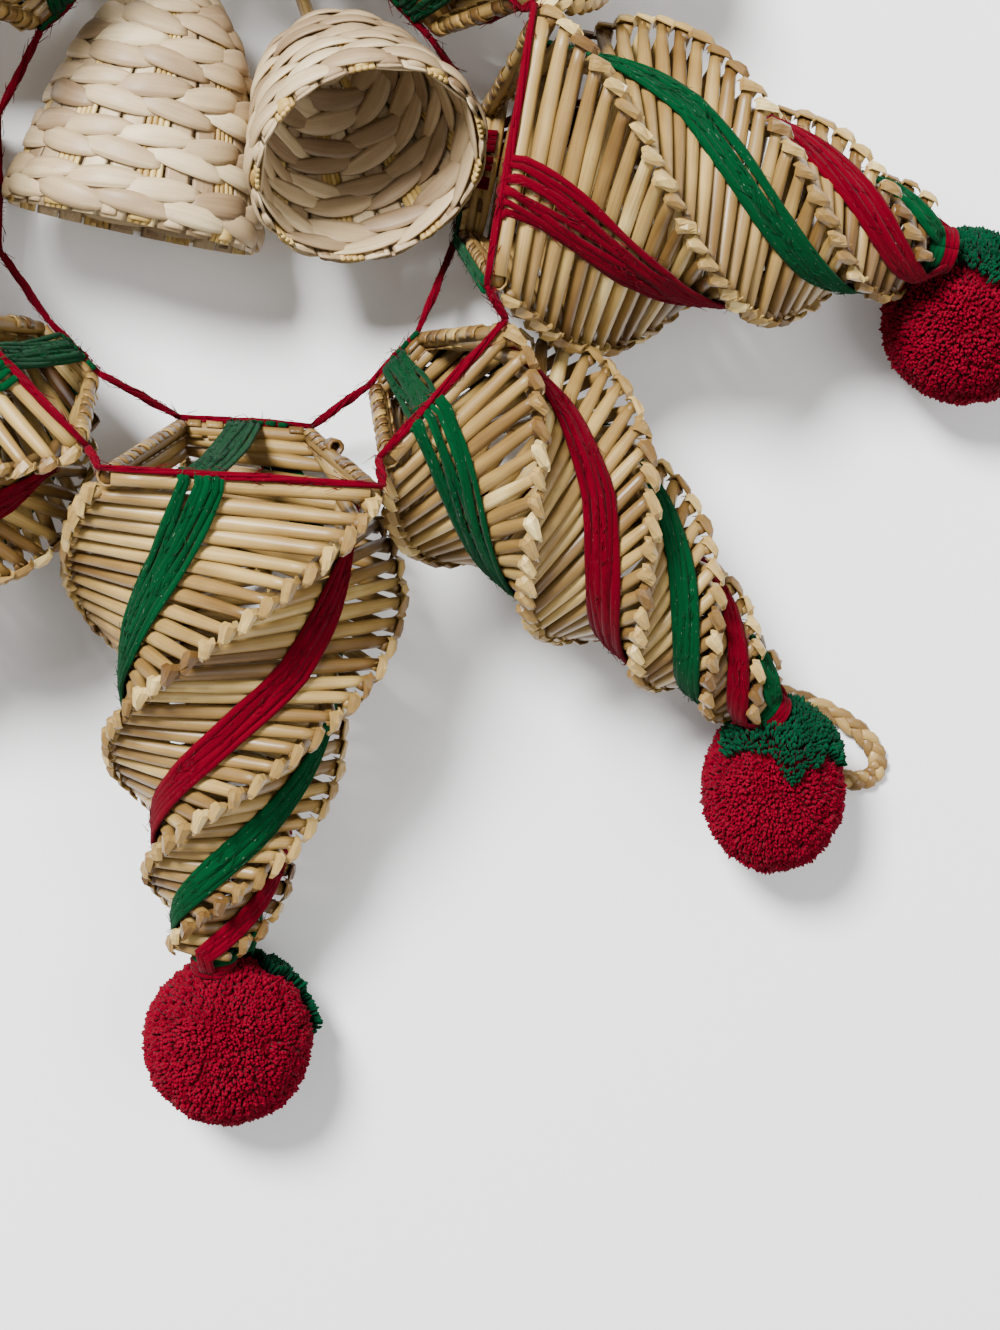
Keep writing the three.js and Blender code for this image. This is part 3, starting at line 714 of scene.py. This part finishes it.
def make_yarn(cone, colour, face, beyond):
    """Two bands of one colour, on opposite faces. beyond: how far past the tip they are tied."""
    bits = Bits()
    on_side = face % 2 == 1
    crossing = colour == "green" and not on_side
    broad = BROAD_RED if cone.name == "east" and colour == "red" and not on_side else 1.0
    for opposite in (0, 2):
        lay_band(bits, cone, face + opposite, beyond, crossing, broad)
    if crossing:
        cross_the_mouth(bits, cone, face)
    if cone.name == "east" and colour == "green":
        loose_end(bits, cone)
    stalk_turns(bits, cone, beyond)
    material = GREEN if colour == "green" else RED
    nodes = [f"{colour}_yarn_{cone.name}"]
    return bits.make(f"{colour}_band_{cone.name}", [material], nodes, f"{colour}_yarn")


LASHING_STRANDS, LASHING_STRAND_RADIUS = 6, 0.38
LASHING_TWIST = 6               # radians that the strands twist from one corner to the next
LASHING_FLYAWAYS = 36


def make_lashing(name, node, cones, corners):
    """Yarn through the mouths' corners, tied tight at each one."""
    bits = Bits()
    stops = [cone.corner(0, k) - cone.axis * LASHING_GAP for cone in cones for k in corners]
    up = vec(0, 0, 1)
    t = np.linspace(0, 1, 10)[:, None]
    fronts = np.tile(up, (len(t), 1))
    loose = 0.6 + 0.6 * np.sin(math.pi * t)
    for a, b in zip(stops, stops[1:] + stops[:1]):
        side = unit(np.cross(b - a, up))
        for strand in range(LASHING_STRANDS):
            phase = strand * 1.05 + rng.uniform(-0.3, 0.3)
            swing = 0.5 * loose * rng.uniform(0.6, 1.2)
            angle = phase + LASHING_TWIST * t
            path = a + (b - a) * t + side * np.cos(angle) * swing + fronts * np.sin(angle) * swing
            size = LASHING_STRAND_RADIUS
            tube(bits, path, fronts, size, size, 6, rng.uniform(0.35, 0.65))
        flyaway(bits, a + (b - a) * t, fronts, 1.8, LASHING_FLYAWAYS)
    return bits.make(name, [RED], [node], "red_yarn")


# ---- pompoms ----
CLUMPS = 260                    # over a whole ball
FIBRE_DEPTH = 2.2               # from a fibre's point to its root
THIRD = 2.0944                  # of a turn, in radians
FIBRE_SHAPE = [(2, 1, 0), (0, 1, 4, 3), (1, 2, 5, 4), (2, 0, 3, 5), (3, 4, 6), (4, 5, 6), (5, 3, 6)]
FIBRES, FIBRES_IN_VIEW = 2400, 7600
IN_VIEW = ("east", "south_east", "south")
CAP_RISE = 2.2                  # of the green cap over the red ball


def tuft_ball(bits, centre, radius, stretch, inside, count, rise=0.0):
    """Cut yarn, as thousands of fine pointed fibres in clumps over a slightly uneven ball.

    stretch moves points away from the centre; inside(directions) picks the fibres that are made.
    """
    golden = math.pi * (3 - math.sqrt(5))
    order = np.arange(count)
    z = 1 - 2 * (order + 0.5) / count
    r = np.sqrt(1 - z * z)
    d = np.stack([r * np.cos(golden * order), r * np.sin(golden * order), z], axis=1)
    spacing = math.sqrt(4 * math.pi / count) * radius
    d = unit_rows(d + rng.normal(0, 0.35 * spacing / radius, d.shape))
    d = d[inside(d)]
    n = len(d)
    heads = unit_rows(rng.normal(0, 1, (CLUMPS, 3)))
    near = np.argmax(d @ heads.T, axis=1)
    pull = heads[near]
    away = np.arccos(np.clip(np.sum(d * pull, axis=1), -1, 1)) * radius
    lump = rng.normal(0, 1, len(heads))[near]
    tips = unit_rows(d * 0.86 + pull * 0.14)
    height = radius * 0.985 + rise + 0.16 * lump - 0.05 * away ** 1.5 + rng.normal(0, 0.1, n)
    bend = rng.normal(0, 0.22, (n, 3))
    top = tips * height[:, None] + bend
    middle = (d * 0.5 + tips * 0.5) * (height - 0.35)[:, None] + bend * 0.6
    root = d * (height - FIBRE_DEPTH)[:, None]
    side = unit_rows(np.cross(d, rng.normal(0, 1, (n, 3))))
    other = np.cross(d, side)
    wide = spacing * rng.uniform(0.55, 0.75, n)[:, None]
    corners = [(math.cos(a), math.sin(a)) for a in (0, THIRD, 2 * THIRD)]
    rings = [root + (side * c + other * w) * wide * 0.5 for c, w in corners]
    rings += [middle + (side * c + other * w) * wide for c, w in corners]
    rings += [top]
    points = centre + stretch(np.stack(rings, axis=1).reshape(-1, 3))
    points[:, 2] = np.maximum(points[:, 2], 0.1 + 0.15 * rng.random(len(points)))
    faces = [tuple(7 * i + q for q in f) for i in range(n) for f in FIBRE_SHAPE]
    # painted shade and light: fibres are painted darker on low clumps and at clump edges, darkest at their
    # roots and lightest at their tips
    depth = np.clip(0.52 + 0.08 * lump - 0.06 * away + rng.normal(0, 0.08, n), 0, 1)
    tone = np.stack([depth - 0.35] * 3 + [depth] * 3 + [depth + 0.1], axis=1).ravel()
    along = np.tile([0, 0, 0, 2, 2, 2, 2.6], n)
    seeds = np.repeat(order[:n] * 0.37, 7)
    fibre = np.stack([along, np.zeros(7 * n), seeds], axis=1)
    bits.add(points, faces, fibre, np.clip(tone, 0, 1))


def ball_core(bits, centre, radius, stretch):
    """The closed ball inside the fibres, so that no gap shows through; it is painted dark, as painted shade
    deep among the fibres.
    """
    rows, cols = 12, 18
    place = np.linspace(0.12, math.pi - 0.12, rows)
    path = centre + vec(0, 0, 1) * (radius * -np.cos(place))[:, None]
    size = radius * np.sin(place)
    # painted shade: the core gets the darkest tone
    tube(bits, path, vec(1, 0, 0), size, size, cols, 0.05)
    bits.points[-1] = centre + stretch(bits.points[-1] - centre)


def make_pompom(cone, count):
    hang = vec(math.cos(math.radians(cone.hang)), math.sin(math.radians(cone.hang)), 0)
    reach = cone.ball * cone.stretch - POMPOM_OVERLAP
    centre = cone.centre_at(1) + cone.axis * STALK_LENGTH + hang * reach
    centre[2] = cone.ball - POMPOM_SINK + cone.prop
    pole = unit(vec(*cone.cap))
    first = unit(np.cross(pole, vec(0.1, 0.2, 1)))
    second = np.cross(pole, first)

    def stretch(points):
        return points + (points @ hang * (cone.stretch - 1))[:, None] * hang

    def in_cap(d):
        # five leaves round the pole, with an uneven edge
        polar = np.degrees(np.arccos(np.clip(d @ pole, -1, 1)))
        turn = np.arctan2(d @ second, d @ first)
        return polar < 50 + 7 * np.cos(5 * turn + math.pi / 2) + 3 * np.sin(11 * turn + 1)

    red, green = Bits(), Bits()
    ball_core(red, centre, cone.ball * 0.9, stretch)
    tuft_ball(red, centre, cone.ball, stretch, lambda d: ~in_cap(d), count)
    tuft_ball(green, centre, cone.ball, stretch, in_cap, count, CAP_RISE)
    red.make(f"pompom_red_{cone.name}", [RED_TUFT], [f"pompom_{cone.name}"], "red_yarn")
    green.make(f"pompom_green_{cone.name}", [GREEN_TUFT], [f"pompom_cap_{cone.name}"], "green_yarn")


# ---- assembly ----
cones = [Cone(facts) for facts in CONES]
by_name = {cone.name: cone for cone in cones}
for cone in cones:
    make_cone(cone)
    make_yarn(cone, "green", cone.green, GREEN_TIE)
    make_yarn(cone, "red", cone.green + 1, RED_TIE)
    make_pompom(cone, FIBRES_IN_VIEW if cone.name in IN_VIEW else FIBRES)
make_lashing("lashing_front", "front_lashing", cones, (3, 0))
make_lashing("lashing_back", "back_lashing", cones, (2, 1))

# ---- palm bells ----
PALM_STOPS = [
    (0.0, (0.13, 0.07, 0.03)),
    (0.35, (0.29, 0.195, 0.105)),
    (0.65, (0.46, 0.335, 0.185)),
    (1.0, (0.74, 0.6, 0.36)),
]
WARP_STOPS = [
    (0.0, (0.17, 0.085, 0.02)),
    (0.4, (0.36, 0.225, 0.06)),
    (0.75, (0.56, 0.39, 0.13)),
    (1.0, (0.7, 0.55, 0.27)),
]
PALM = straw_material("palm_strip", PALM_STOPS, 0.55)
WARP = straw_material("palm_warp", WARP_STOPS, 0.55)
BELLS = [
    dict(name="left", mouth=(-21, -9, 20.2), opens=(-0.2, -0.98, 0), radius=25.5, flat=0.76, height=50,
         stem=(-7, 46, 16)),
    dict(name="right", mouth=(25, 1, 41.5), opens=(0.22, -0.65, 0.72), radius=23.5, flat=1, height=42,
         stem=(10, 46, 9)),
]
PALM_THICKNESS = 0.4
WARPS = 26                      # pale strips and bundles of yellow stalks
MIDDLE = 0.2                    # the level whose girth sets the warps' width
ROW_HEIGHTS = [2.6, 6.4, 12.2, 16.0, 21.6, 25.4, 30.6, 34.2, 38.6, 42.0, 45.4]
LAST_ROW = 0.93                 # no row lies above this level
STITCH_OUTSIDE, STITCH_INSIDE = 11.5, 13        # how far apart the stitches of a row lie
BELL_SHARES = [0, 0.04, 0.13, 0.3, 0.5, 0.7, 0.86, 0.96, 1.0]
BELL_RADII = [0.98, 1.03, 0.97, 0.88, 0.79, 0.65, 0.44, 0.22, 0.06]


class Bell:
    """The shape of a bell: turn goes round it, and h is 0 at the mouth and 1 at the crown."""

    def __init__(self, facts):
        self.__dict__.update(facts)
        self.centre = RING_CENTRE + vec(*self.mouth)
        self.up = -unit(vec(*self.opens))
        self.across = unit(np.cross(self.up, vec(0, 0, 1)))
        self.deep = np.cross(self.across, self.up)

    def radius_at(self, h):
        near = [np.interp(h + d, BELL_SHARES, BELL_RADII) for d in (-0.05, -0.025, 0, 0.025, 0.05)]
        return self.radius * float(np.mean(near))

    def point(self, turn, h, off=0.0):
        r = self.radius_at(h) + off
        spoke = self.across * math.cos(turn) + self.deep * self.flat * math.sin(turn)
        return self.centre + self.up * (h * self.height) + spoke * r

    def normal(self, turn, h):
        e = 0.02
        a = self.point(turn + e, h) - self.point(turn - e, h)
        b = self.point(turn, min(h + e, 0.99)) - self.point(turn, max(h - e, 0.0))
        return turned_to(unit(np.cross(a, b)), self.point(turn, h) - self.point(turn, h, -5))


def leaf_stitch(bits, bell, turn, h, length, width, inside, slant, tone):
    """One pass of a palm strip over a warp: widest in the middle, tucked in at both ends."""
    rows, cols = 9, 5
    top, facing = np.zeros((rows, cols, 3)), np.zeros((rows, cols, 3))
    girth = bell.radius_at(h) * (1 + bell.flat) / 2
    bow = rng.uniform(-0.25, 0.25)
    for r in range(rows):
        t = r / (rows - 1) * 2 - 1
        half = width / 2 * (0.3 + 0.7 * (1 - abs(t) ** 2.4))
        for q in range(cols):
            v = q / (cols - 1) * 2 - 1
            angle = turn + t * length / 2 / girth
            rise = v * half + slant * t * length / 2 + bow * (1 - t * t)
            level = h + rise / bell.height
            bulge = 0.95 * (1 - t * t) + 0.35 * (1 - v * v) * (1 - t * t)
            n = bell.normal(angle, min(max(level, 0.0), 0.97))
            base = bell.point(angle, level, -1.9 if inside else -0.75)
            n = -n if inside else n
            top[r, q] = base + n * (bulge - 0.1)
            facing[r, q] = n
    slab(bits, top, facing, PALM_THICKNESS, tone)


def warps(bits, bell):
    """From the rim to the crown: bundles of yellow stalks between pale strips."""
    girth_radius = bell.radius_at(MIDDLE) * (1 + bell.flat) / 2
    for i in range(WARPS):
        turn = 2 * math.pi * (i + rng.uniform(-0.1, 0.1)) / WARPS
        yellow = i % 3 == 0
        spread = 2 * math.pi / WARPS * bell.radius_at(MIDDLE) * (1 + bell.flat) / 2 * 0.92
        parts = 4 if yellow else 1
        for q in range(parts):
            angle = turn + (q - (parts - 1) / 2) * spread / parts / girth_radius
            path, normals, wides = [], [], []
            for h in np.linspace(-0.015, 0.97, 14):
                shrink = bell.radius_at(h) / bell.radius_at(MIDDLE)
                path.append(bell.point(angle, h, -1.3))
                normals.append(bell.normal(angle, max(h, 0.0)))
                wides.append(spread / parts / 2 * max(shrink, 0.12) * 1.02)
            deep = 0.42 if yellow else 0.28
            tube(bits, path, normals, wides, deep, 8, rng.uniform(0.35, 0.8), int(yellow))


def stitch_rows(bits, bell):
    """Rows of palm strip round the bell, outside and inside, each row slanting the other way."""
    for i, height in enumerate(ROW_HEIGHTS):
        h = height / bell.height
        if h > LAST_ROW:
            break
        for inside in (False, True):
            girth = 2 * math.pi * bell.radius_at(h) * (1 + bell.flat) / 2
            number = max(5, round(girth / (STITCH_INSIDE if inside else STITCH_OUTSIDE)))
            for j in range(number):
                turn = 2 * math.pi * (j + 0.5 * (i % 2) + rng.uniform(-0.08, 0.08)) / number
                length = girth / number * 1.34
                width = rng.uniform(3.9, 4.9)
                slant = (0.12 if i % 2 == 0 else -0.12) + rng.normal(0, 0.03)
                leaf_stitch(bits, bell, turn, h, length, width, inside, slant, rng.uniform(0.3, 0.85))


def warp_ends(bits, bell):
    """The warps' ends, cut short below the last row."""
    for i in range(WARPS):
        turn = 2 * math.pi * (i + rng.uniform(-0.12, 0.12)) / WARPS
        a, b = bell.point(turn, 0.05, -1.0), bell.point(turn, -0.002, -1.0)
        wide = rng.uniform(1.5, 2.3)
        tone = rng.uniform(0.1, 0.75)
        tube(bits, np.linspace(a, b, 5), bell.normal(turn, 0.02), wide, 0.75, 8, tone, int(i % 3 == 0))


def bell_stem(bits, bell):
    """Four stalks side by side, from the crown to where the bell is tied."""
    crown, end = bell.point(0, 0.96, -bell.radius_at(0.96)), RING_CENTRE + vec(*bell.stem)
    path = np.linspace(crown, end, 8)
    side = unit(np.cross(end - crown, vec(0, 0, 1)))
    lift = unit(np.cross(side, end - crown))
    for q in range(4):
        turn = q * math.pi / 2
        n = side * math.cos(turn) + lift * math.sin(turn)
        tube(bits, path + n * 0.7, n, 0.85, 0.7, 6, rng.uniform(0.3, 0.8), q % 2)


def make_bell(bell):
    bits = Bits()
    warps(bits, bell)
    stitch_rows(bits, bell)
    warp_ends(bits, bell)
    bell_stem(bits, bell)
    return bits.make(f"bell_{bell.name}", [PALM, WARP], [f"palm_bell_{bell.name}"], "palm")


# ---- plaited loop ----
LOOP_HEADING = -31              # degrees, the way the loop points
LOOP_LENGTH, LOOP_HALF_WIDTH = 36, 7.5
LOOP_STEPS = 72
LOOP_HEIGHT = 1.9               # of the plait's middle over the floor
LOOP_CLIMB, CLIMB_END = 5, 0.25                 # it climbs to the stalk over this share of its length
PLAIT_TURNS, PLAIT_SWING, PLAIT_LIFT = 8, 1.15, 0.55


def make_loop(cone):
    """A loop of three flat strands, plaited, that lies beyond the cone's tip."""
    heading = math.radians(LOOP_HEADING)
    run, side = vec(math.cos(heading), math.sin(heading), 0), vec(-math.sin(heading), math.cos(heading), 0)
    up = vec(0, 0, 1)
    turns = np.arange(LOOP_STEPS + 1) / LOOP_STEPS * 2 * math.pi
    share = (1 - np.cos(turns)) / 2
    ahead = share * LOOP_LENGTH
    aside = LOOP_HALF_WIDTH * np.sin(turns) * share ** 0.4
    path = cone.centre_at(1) + run * ahead[:, None] + side * aside[:, None]
    path[:, 2] = LOOP_HEIGHT + LOOP_CLIMB * np.maximum(0, 1 - share / CLIMB_END) ** 2
    across = np.cross(unit_rows(np.gradient(path, axis=0)), up)
    bits = Bits()
    for strand in range(3):
        phase = 2 * math.pi * strand / 3 + turns * PLAIT_TURNS
        swing, lift = PLAIT_SWING * np.sin(phase), PLAIT_LIFT * np.sin(2 * phase)
        centre = path + across * swing[:, None] + up * lift[:, None]
        tube(bits, centre, up, 1.15, 0.5, 8, 0.28 + 0.16 * strand)
    return bits.make("loop_plait", [STRAW], ["plaited_loop"], "straw")


for facts in BELLS:
    make_bell(Bell(facts))
make_loop(by_name["south_east"])

# ---- floor, light and camera ----
def stage_material():
    m = Nodes("pale_floor", 0.9)
    coordinates = m.node("ShaderNodeTexCoord").outputs["Object"]
    grain = m.noise(coordinates, 6.0, 3.0)
    colour = m.ramp(grain, [(0.0, (0.93, 0.93, 0.93)), (1.0, (0.95, 0.95, 0.95))])
    return m.finish(colour)


bpy.ops.mesh.primitive_plane_add(size=6, location=(0, 0, 0))
floor = bpy.context.object
floor.name = "floor"
floor.data.materials.append(stage_material())


def area_light(name, place, target, size, power):
    data = bpy.data.lights.new(name, "AREA")
    data.shape, data.size, data.energy = "DISK", size, power
    light = bpy.data.objects.new(name, data)
    light.location = place
    light.rotation_euler = (Vector(target) - Vector(place)).to_track_quat("-Z", "Y").to_euler()
    bpy.context.scene.collection.objects.link(light)


LIT_SPOT = (0.03, -0.08, 0.02)
area_light("key", (-0.6, 0.75, 1.35), LIT_SPOT, 0.5, 86)
area_light("fill", (0.9, -0.3, 1.5), LIT_SPOT, 1.2, 12)
world = bpy.data.worlds.new("studio")
world.use_nodes = True
world.node_tree.nodes["Background"].inputs["Color"].default_value = (1, 1, 1, 1)
world.node_tree.nodes["Background"].inputs["Strength"].default_value = 0.55
bpy.context.scene.world = world

CAMERA_AT, LOOKS_AT = vec(11.9, -46.3, 509), vec(59.9, -95.3, 29)
SENSOR, LENS = 36, 65.61203     # the lens takes in the photograph's framing
camera_data = bpy.data.cameras.new("camera")
camera_data.sensor_width = SENSOR
camera_data.lens = LENS
camera = bpy.data.objects.new("camera", camera_data)
camera.location = CAMERA_AT * MM
back = unit(CAMERA_AT - LOOKS_AT)
right = unit(np.cross(vec(0, 1, 0), back))
up = np.cross(back, right)
turned = camera.matrix_world.copy()
for row in range(3):
    turned[row][0], turned[row][1], turned[row][2] = right[row], up[row], back[row]
    turned[row][3] = CAMERA_AT[row] * MM
camera.matrix_world = turned
bpy.context.scene.collection.objects.link(camera)
bpy.context.scene.camera = camera
